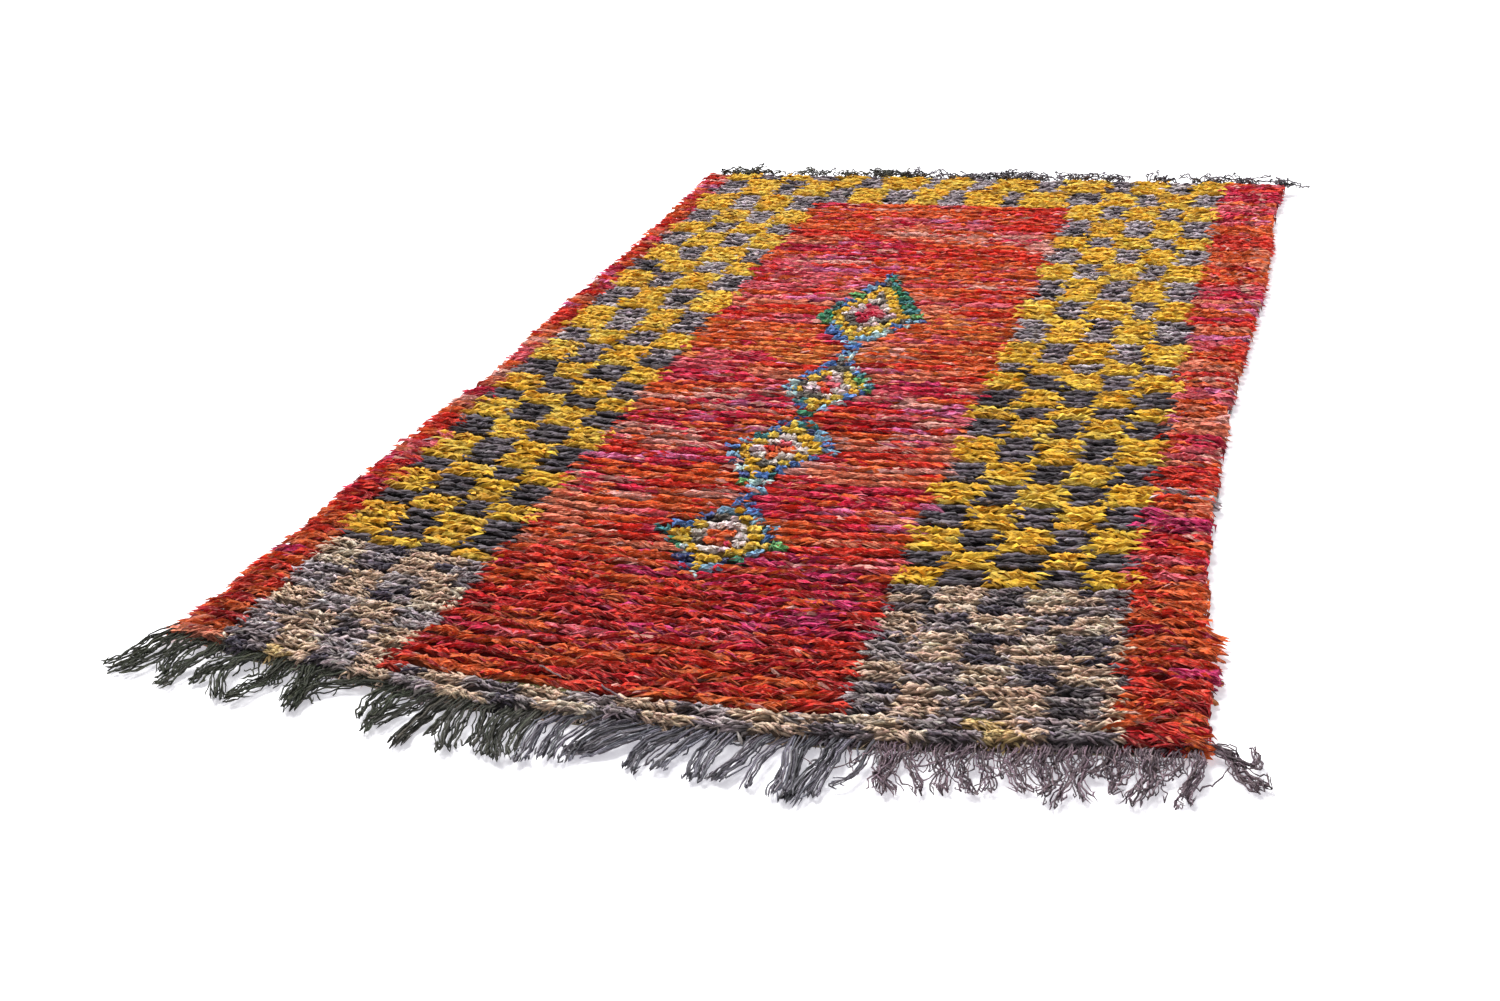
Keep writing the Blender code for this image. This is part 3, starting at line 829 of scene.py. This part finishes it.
ground = {"columns": 24, "lines": 40, "thick": 0.0024, "low": 0.0006, "thread": 0.0026,
          "pale": (150, 140, 120), "dull": (120, 112, 86)}
bpy.ops.mesh.primitive_grid_add(x_subdivisions=ground["columns"], y_subdivisions=ground["lines"], size=1.0)
weave = bpy.context.object
weave.name = "woven_ground"
co = np.array([v.co for v in weave.data.vertices])
sheetX, sheetY = rugPoint(co[:, 0] + 0.5, co[:, 1] + 0.5)
outX = np.where(co[:, 0] > 0.499, 0.0010, np.where(co[:, 0] < -0.499, 0.0020, 0.0))
outY = np.where(co[:, 1] > 0.499, -0.004, np.where(co[:, 1] < -0.499, 0.003, 0.0))
co[:, 0] = sheetX + outX - rug["middle"][0]
co[:, 1] = sheetY + outY - rug["middle"][1]
co[:, 2] = ground["low"]
store(weave.data.vertices, "co", co)
thickness = weave.modifiers.new("thickness", "SOLIDIFY")
thickness.thickness = ground["thick"]
thickness.offset = 1.0
bpy.ops.object.modifier_apply(modifier="thickness")
weave.select_set(False)
layFromAbove(weave)


def groundLook():
    look = Look("woven_ground", 0.92, 0.1)
    place = look.node("ShaderNodeTexCoord", out="Object")
    weft = look.wave(place, "Y", 0.314 / ground["thread"], 0.6)
    warp = look.wave(place, "X", 0.157 / ground["thread"], 0.6)
    pale, dull = ((*linear(ground[name]), 1.0) for name in ("pale", "dull"))
    colour = look.mix(look.noise(place, 9.0, 3.0), pale, dull)
    return look.finish(colour, weft + warp * 0.6, 0.0008)


weave.data.materials.append(groundLook())
print("ground woven:", len(weave.data.polygons), "faces")


# The fringes: wavy plied warp ends, in bundles that lie as they fell

yarnRings = [(n / 16.0, 1.0) for n in range(16)]
strips["yarn"] = modelStrip("strip_yarn", {"sides": 3, "rings": yarnRings})
# one row a bundle, in mm: root, bend and tip as x and y, yarns, half widths at root and tip
nearHanks = (
    (-11, 12, -36, -39, -61, -89, 13, 11, 9), (9, -5, -11, -38, -32, -93, 6, 5, 5),
    (43, -18, -13, -19, 27, -88, 9, 10, 6), (56, -26, 47, -71, 24, -107, 9, 8, 7),
    (115, -34, 73, -58, 70, -93, 9, 9, 7), (136, -34, 67, -56, 120, -124, 9, 9, 7),
    (169, -33, 160, -79, 141, -125, 9, 9, 6), (196, -27, 163, -31, 173, -82, 7, 8, 8),
    (214, -33, 212, -76, 225, -121, 9, 9, 7), (318, -50, 173, 0, 220, -122, 13, 8, 8),
    (327, -66, 226, -46, 224, -101, 7, 5, 6), (246, -55, 216, -65, 255, -106, 2, 3, 2),
    (342, -63, 323, -77, 327, -121, 10, 9, 8), (367, -69, 328, -100, 344, -148, 7, 8, 4),
    (402, -64, 364, -91, 345, -130, 8, 8, 8), (421, -69, 390, -101, 391, -167, 12, 9, 5),
    (436, -70, 429, -99, 419, -144, 4, 4, 3), (447, -73, 426, -117, 450, -166, 6, 5, 4),
    (461, -74, 434, -108, 459, -158, 6, 5, 4), (479, -75, 468, -105, 484, -157, 8, 6, 6),
    (499, -77, 488, -127, 502, -161, 8, 6, 5), (520, -79, 496, -118, 520, -168, 9, 7, 6),
    (541, -79, 521, -119, 539, -161, 9, 7, 5), (563, -83, 537, -131, 551, -169, 6, 4, 4),
    (589, -84, 562, -83, 572, -162, 7, 6, 5), (626, -83, 589, -110, 594, -152, 8, 8, 6),
    (668, -82, 604, -120, 596, -133, 13, 10, 6), (688, -86, 637, -123, 614, -134, 8, 6, 5),
    (717, -82, 674, -107, 674, -150, 12, 9, 7), (741, -83, 713, -111, 703, -146, 11, 9, 7),
    (768, -83, 751, -121, 754, -156, 14, 12, 6), (816, -75, 792, -110, 781, -152, 11, 9, 5),
    (844, -71, 814, -98, 815, -158, 4, 6, 2), (850, -70, 851, -122, 859, -168, 10, 8, 6),
    (869, -70, 855, -97, 869, -171, 8, 6, 4), (898, -66, 888, -81, 873, -172, 9, 8, 5),
    (906, -64, 887, -103, 893, -155, 8, 7, 4), (936, -62, 928, -138, 909, -134, 5, 5, 3),
    (945, -60, 951, -95, 976, -135, 10, 9, 7), (970, -59, 951, -77, 962, -140, 7, 7, 5),
    (984, -56, 985, -93, 1002, -132, 5, 5, 2), (1016, -53, 1009, -87, 1030, -122, 7, 7, 5),
    (1040, -51, 1038, -85, 1052, -121, 7, 8, 4), (1062, -51, 1063, -73, 1071, -111, 7, 8, 5),
    (1097, -39, 1085, -70, 1108, -103, 7, 8, 4), (1125, -35, 1128, -68, 1131, -111, 9, 9, 4),
    (1146, -33, 1147, -71, 1151, -121, 8, 8, 4), (1165, -29, 1159, -59, 1179, -104, 8, 8, 4),
    (1194, -23, 1187, -41, 1193, -65, 9, 9, 8), (1207, -20, 1216, -42, 1203, -93, 4, 5, 2),
    (1231, -13, 1229, -32, 1225, -104, 8, 9, 4), (1242, -11, 1233, -46, 1241, -87, 8, 9, 6),
    (1264, -4, 1253, -37, 1248, -53, 6, 7, 6), (1281, -2, 1282, -32, 1282, -85, 10, 6, 3),
    (1286, -7, 1279, -95, 1264, -103, 3, 4, 1), (1295, 1, 1325, 4, 1356, -49, 14, 8, 5),
    (1298, -4, 1355, -33, 1343, 27, 6, 6, 4),
)
fringeDyes = {"greenGrey": (100, 104, 86), "moss": (116, 116, 104), "steel": (174, 169, 182),
              "taupe": (190, 162, 174), "dusk": (150, 140, 150)}
near = {"width": (0.0024, 0.0019), "more": (1.5, 1.4), "arches": 80, "fill": 46, "gather": 0.66,
        "frayed": 0.93, "short": (0.87, 1.03), "folded": 0.55, "height": (0.006, 0.014), "fall": 4.5}
far = {"tufts": 62, "yarns": 6, "width": 0.0030, "length": (0.018, 0.066), "height": (0.015, 0.029),
       "fall": (0.2, 1.7), "corner": 1.283}
lie = {"foldAt": 1.14, "rest": 0.0022, "layers": 0.0055, "top": 0.0320, "sides": (-0.097, 1.367)}
yarnMaterial = yarnLook("plied_yarn", 0.9, 0.1, 4.0, 0.9, 0.0009, (0.50, 0.45, 0.47), 0.40, plies=6.0)


def yarnRun(kin, root, mid, tip, spread, sway, frizz, fold, height, fall):
    # spines bent from root to tip, side by side and wavy alike for kin, some folded back at the end
    count = len(root)
    t = strips["yarn"]["places"][None, :]
    phase = (dice.uniform(0.0, 6.3, (kin.max() + 1, 6))[kin] + dice.normal(0.0, 0.5, (count, 6)))[..., None]
    beyond = t * lie["foldAt"]
    s = np.where((fold != 0.0)[:, None], np.where(beyond < 1.0, beyond, 2.0 - beyond), t)[..., None]
    flat = (1.0 - s) ** 2 * root[:, None] + 2.0 * s * (1.0 - s) * mid[:, None] + s ** 2 * tip[:, None]
    way = unit(tip - root)
    aside = np.stack([-way[:, 1], way[:, 0]], -1)
    lateral = spread[:, :1] * (1.0 - t) + spread[:, 1:] * t
    lateral = lateral + (sway[:, None] * np.sin(t * 7.0 + phase[:, 0]) + frizz[:, None] * (
        np.sin(t * 22.0 + phase[:, 1]) + 0.7 * np.sin(t * 35.0 + phase[:, 2]))) * np.minimum(t * 4.0, 1.0)
    lateral = lateral + fold[:, None] * 0.004 * np.clip((beyond - 0.92) / 0.2, 0.0, 1.0)
    flat = flat + aside[:, None] * lateral[..., None]
    flat = flat + way[:, None] * (frizz[:, None] * np.sin(t * 35.0 + phase[:, 3]))[..., None]
    rise = lie["rest"] * (1.0 + np.sin(t * 8.0 + phase[:, 4]))
    rise = rise + frizz[:, None] * (1.0 + np.sin(t * 29.0 + phase[:, 5]))
    rise = rise + dice.uniform(0.0, lie["layers"], count)[:, None]
    z = lie["rest"] + height[:, None] * np.exp(-fall * t ** 1.3) + rise * np.minimum(t * 4.0, 1.0)
    z = np.minimum(z, lie["top"] + 0.0018 * np.sin(t * 19.0 + phase[:, 2]))
    flat[..., 0] = np.clip(flat[..., 0], *lie["sides"])
    return np.concatenate([flat, z[..., None]], -1)


def buildYarns(name, parts, dye, width):
    spine = yarnRun(*parts)
    count = len(spine)
    shades = np.repeat(toned(linear(dye), 0.36, 1.15)[:, None, :], spine.shape[1], axis=1)
    size = dice.uniform(0.75, 1.15, count) * width
    return joinStrips(name, strips["yarn"], spine, upward(spine), size, size, dice.normal(0.0, 3.0, count),
                      shades, yarnMaterial, True, 0.0002)


# up to an x: the dye, sway and frizz of the near fringe
nearStyles = ((0.40, "greenGrey", 0.0042, 0.0012), (0.55, "moss", 0.0034, 0.0009),
              (0.94, "steel", 0.0026, 0.0006), (9.99, "taupe", 0.0054, 0.0016))


def nearStyle(x):
    for upTo, dye, sway, frizz in nearStyles:
        if x < upTo:
            return (*fringeDyes[dye], sway, frizz)


inHank = [round(row[6] * near["more"][row[0] > 1000.0 * near["frayed"]]) for row in nearHanks]
hankOf = np.repeat(np.arange(len(nearHanks)), inHank)
hank = np.array(nearHanks, float)[hankOf]
hank[:, :6] /= 1000.0
count = len(hank)
place = np.concatenate([np.linspace(-1.2, 1.2, size) for size in inHank]) + dice.normal(0.0, 0.15, count)
gathered = np.where(hank[:, 0] > near["frayed"], near["gather"], 1.0)  # tighter bunches where it is frayed
atTip = (1.35 * place + dice.normal(0.0, 0.4, count)) * hank[:, 8]
spread = np.stack([place * gathered * hank[:, 7], atTip], -1) * 0.001
root = hank[:, :2] + np.array([0.0, 0.014])
drawnOut = dice.uniform(*near["short"], count)[:, None]
mid = root + (hank[:, 2:4] - root) * drawnOut
tip = root + (hank[:, 4:6] - root) * drawnOut
fold = np.where(dice.random(count) < near["folded"], dice.choice([-1.0, 1.0], count), 0.0)

archX = np.sort(dice.uniform(near["frayed"], 1.285, near["arches"]))  # loops that the frayed end hangs in
fillX = np.sort(dice.uniform(0.01, near["frayed"], near["fill"]))  # single yarns between the bundles
edgeX = np.concatenate([archX, fillX])
edgeY = np.interp(edgeX, endEdges["x"], endEdges["near"]) + 0.004
depth = np.concatenate([dice.uniform(0.03, 0.12, near["arches"]), dice.uniform(0.02, 0.05, near["fill"])])
wayX = np.concatenate([dice.normal(0.0, 0.042, near["arches"]), dice.normal(-0.010, 0.012, near["fill"])])
extraRoot = np.stack([edgeX, edgeY], -1)
isArch = np.arange(len(edgeX)) < near["arches"]
extraMid = extraRoot + np.stack([0.5 * wayX, -np.where(isArch, depth, 0.5 * depth)], -1)
extraTip = extraRoot + np.stack([wayX, -np.where(isArch, 0.006, depth)], -1)
extra = len(edgeX)

root = np.concatenate([root, extraRoot])
styles = np.array([nearStyle(x) for x in root[:, 0]])
nearFringe = buildYarns("near_fringe", (
    np.concatenate([hankOf, len(nearHanks) + np.arange(extra)]), root, np.concatenate([mid, extraMid]),
    np.concatenate([tip, extraTip]), np.concatenate([spread, np.zeros((extra, 2))]),
    styles[:, 3] * dice.uniform(0.7, 1.3, len(root)), styles[:, 4] * dice.uniform(0.7, 1.3, len(root)),
    np.concatenate([fold, np.zeros(extra)]), dice.uniform(*near["height"], len(root)), near["fall"]),
    styles[:, :3], np.where(root[:, 0] < near["frayed"], *near["width"]))

farX = np.repeat(np.sort(np.append(dice.uniform(0.008, 1.286, far["tufts"]), (1.286, 1.290))), far["yarns"])
count = len(farX)
root = np.stack([farX + dice.normal(0.0, 0.004, count),
                 np.interp(farX, endEdges["x"], endEdges["far"]) - 0.010], -1)
atCorner = farX > far["corner"]
lean = dice.normal(0.0, 0.8, count) + 0.8 * atCorner
way = np.stack([np.sin(lean), np.abs(np.cos(lean))], -1) * dice.uniform(*far["length"], count)[:, None]
way = way * np.where(atCorner, 0.6, 1.0)[:, None]  # the corner tuft is short
curlX = np.stack([dice.normal(0.0, 0.016, count), dice.uniform(0.004, 0.022, count)], -1)
dye = np.array([fringeDyes["moss"] if x < 0.50 else fringeDyes["dusk"] for x in farX])
dye = np.where((dice.random(count) < 0.2)[:, None], np.array(dyes["soot"]), dye)
farFringe = buildYarns("far_fringe", (
    np.arange(count) // far["yarns"], root, root + way + curlX, root + way,
    np.zeros((count, 2)), np.full(count, 0.004), np.full(count, 0.0014), np.zeros(count),
    dice.uniform(*far["height"], count), dice.uniform(*far["fall"], (count, 1))), dye, far["width"])


def layThreads(name, runs):
    # each run: from and to as x, y and z, width, thickness, dye
    t = strips["yarn"]["places"][None, :, None]
    ends = np.array([[run[0], run[1]] for run in runs])
    spine = ends[:, :1] + (ends[:, 1:] - ends[:, :1]) * t
    phase = dice.uniform(0.0, 6.3, (len(runs), 1))
    spine[..., 1] += 0.0008 * np.sin(t[..., 0] * 11.0 + phase)
    spine[..., 2] += 0.0006 * np.sin(t[..., 0] * 17.0 + phase)
    dye = toned(linear([dyes[run[4]] for run in runs]), 0.12, 1.7)
    shades = np.repeat(dye[:, None, :], spine.shape[1], axis=1)
    width, thick = (np.array([run[n] for run in runs]) for n in (2, 3))
    return joinStrips(name, strips["yarn"], spine, upward(spine), width, thick,
                      dice.normal(0.0, 0.4, len(runs)), shades, yarnMaterial, True, 0.0002)


wefts = ((0.633, 0.872, 13, "weft"), (0.437, 0.580, 2, "olive"), (1.015, 1.061, 2, "olive"))
threadRuns = [
    ((0.504, 0.007, 0.0255), (0.543, -0.014, 0.0255), 0.0030, 0.0026, "thread"),
    ((0.597, -0.021, 0.0255), (0.634, -0.042, 0.0245), 0.0030, 0.0026, "thread"),
    ((1.262, 0.168, 0.0130), (1.300, 0.152, 0.0060), 0.0110, 0.0030, "tan"),
    ((1.256, 0.130, 0.0150), (1.298, 0.112, 0.0060), 0.0100, 0.0030, "tan"),
    ((1.262, 0.150, 0.0150), (1.296, 0.134, 0.0080), 0.0080, 0.0030, "magenta"),
    ((1.262, 0.248, 0.0150), (1.302, 0.216, 0.0060), 0.0080, 0.0032, "orange"),
    ((1.258, 0.226, 0.0150), (1.300, 0.200, 0.0060), 0.0080, 0.0032, "orange"),
]
for x0, x1, row, dyeName in wefts:  # ground yarns that show in a groove
    for strand in range(3):
        ends = []
        for x in (x0 + 0.004 * strand, x1 - 0.003 * strand):
            along = row / rug["rows"]
            y = float(rugPoint(np.array([x / rug["width"]]), np.array([along]))[1][0])
            ends.append((x, y + 0.0022 * (strand - 1), 0.0165))
        threadRuns.append((ends[0], ends[1], 0.0028, 0.0026, dyeName))
for y in (0.62, 0.79, 0.93, 1.10, 1.16, 1.37):  # where the pale yarns of the right selvedge show
    x0, x1 = np.interp((y, y + 0.045), sideEdges["y"], sideEdges["right"]) + 0.001
    threadRuns.append(((x0, y, 0.0055), (x1, y + 0.045, 0.0055), 0.0050, 0.0040, "selvedge"))
threads = layThreads("laid_threads", threadRuns)
pilePieces.append(threads)
print("fringes laid:", len(nearFringe.data.polygons) + len(farFringe.data.polygons), "triangles")


# What each piece stands for

for piece in pilePieces + [weave]:
    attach(piece, "root")
    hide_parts("knotted_pile")
for piece, node, slot in ((nearFringe, "fringe_near", "near_yarn"), (farFringe, "fringe_far", "far_yarn")):
    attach(piece, "root")
    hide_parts(node)


# Studio: pale floor, soft light and the camera of the photograph

studio = {"floor": 14.0, "floorColour": (0.90, 0.90, 0.905), "world": 0.36, "glow": 0.46,
          "key": 4.7, "keySoftness": 0.60, "keyFrom": (-0.7, 0.65, 1.0)}
bpy.ops.mesh.primitive_plane_add(size=studio["floor"], location=(0.0, 2.0, 0.0))
floor = bpy.context.object
floor.name = "studio_floor"
floorLook = bpy.data.materials.new("studio_floor")
floorLook.use_nodes = True
for socket, level in (("Base Color", (*studio["floorColour"], 1.0)), ("Roughness", 0.9),
                      ("Emission Color", (0.94, 0.92, 1.0, 1.0)), ("Emission Strength", studio["glow"])):
    floorLook.node_tree.nodes["Principled BSDF"].inputs[socket].default_value = level
floor.data.materials.append(floorLook)
floor.select_set(False)

world = bpy.data.worlds.new("studio")
bpy.context.scene.world = world
world.use_nodes = True
background = world.node_tree.nodes["Background"].inputs
background["Color"].default_value = (1.0, 1.0, 1.0, 1.0)
background["Strength"].default_value = studio["world"]

key = bpy.data.objects.new("key", bpy.data.lights.new("key", "SUN"))
key.data.energy = studio["key"]
key.data.angle = studio["keySoftness"]
key.location = tuple(3.0 * part for part in studio["keyFrom"])
key.rotation_euler = Vector(studio["keyFrom"]).to_track_quat("Z", "Y").to_euler()
bpy.context.scene.collection.objects.link(key)

view = {"place": (0.717, -2.5745, 1.104), "pitch": 26.338, "roll": -4.415, "yaw": 19.568, "lens": 40.8}
pitch, roll, yaw = (math.radians(view[name]) for name in ("pitch", "roll", "yaw"))
right = Vector((math.cos(roll), math.sin(roll) * math.sin(pitch), math.sin(roll) * math.cos(pitch)))
down = Vector((math.sin(roll), -math.cos(roll) * math.sin(pitch), -math.cos(roll) * math.cos(pitch)))
ahead = Vector((0.0, math.cos(pitch), -math.sin(pitch)))
turn = Matrix.Rotation(yaw, 3, "Z")
axes = Matrix((turn @ right, turn @ -down, turn @ -ahead)).transposed()
camera = bpy.data.objects.new("camera", bpy.data.cameras.new("camera"))
camera.data.lens = view["lens"]
camera.data.sensor_width = 36.0
camera.data.clip_end = 50.0
camera.matrix_world = Matrix.Translation(view["place"]) @ axes.to_4x4()
bpy.context.scene.collection.objects.link(camera)
bpy.context.scene.camera = camera
bpy.context.scene.view_settings.view_transform = "Standard"

print("pile laid:", sum(len(piece.data.polygons) for piece in pilePieces), "triangles")
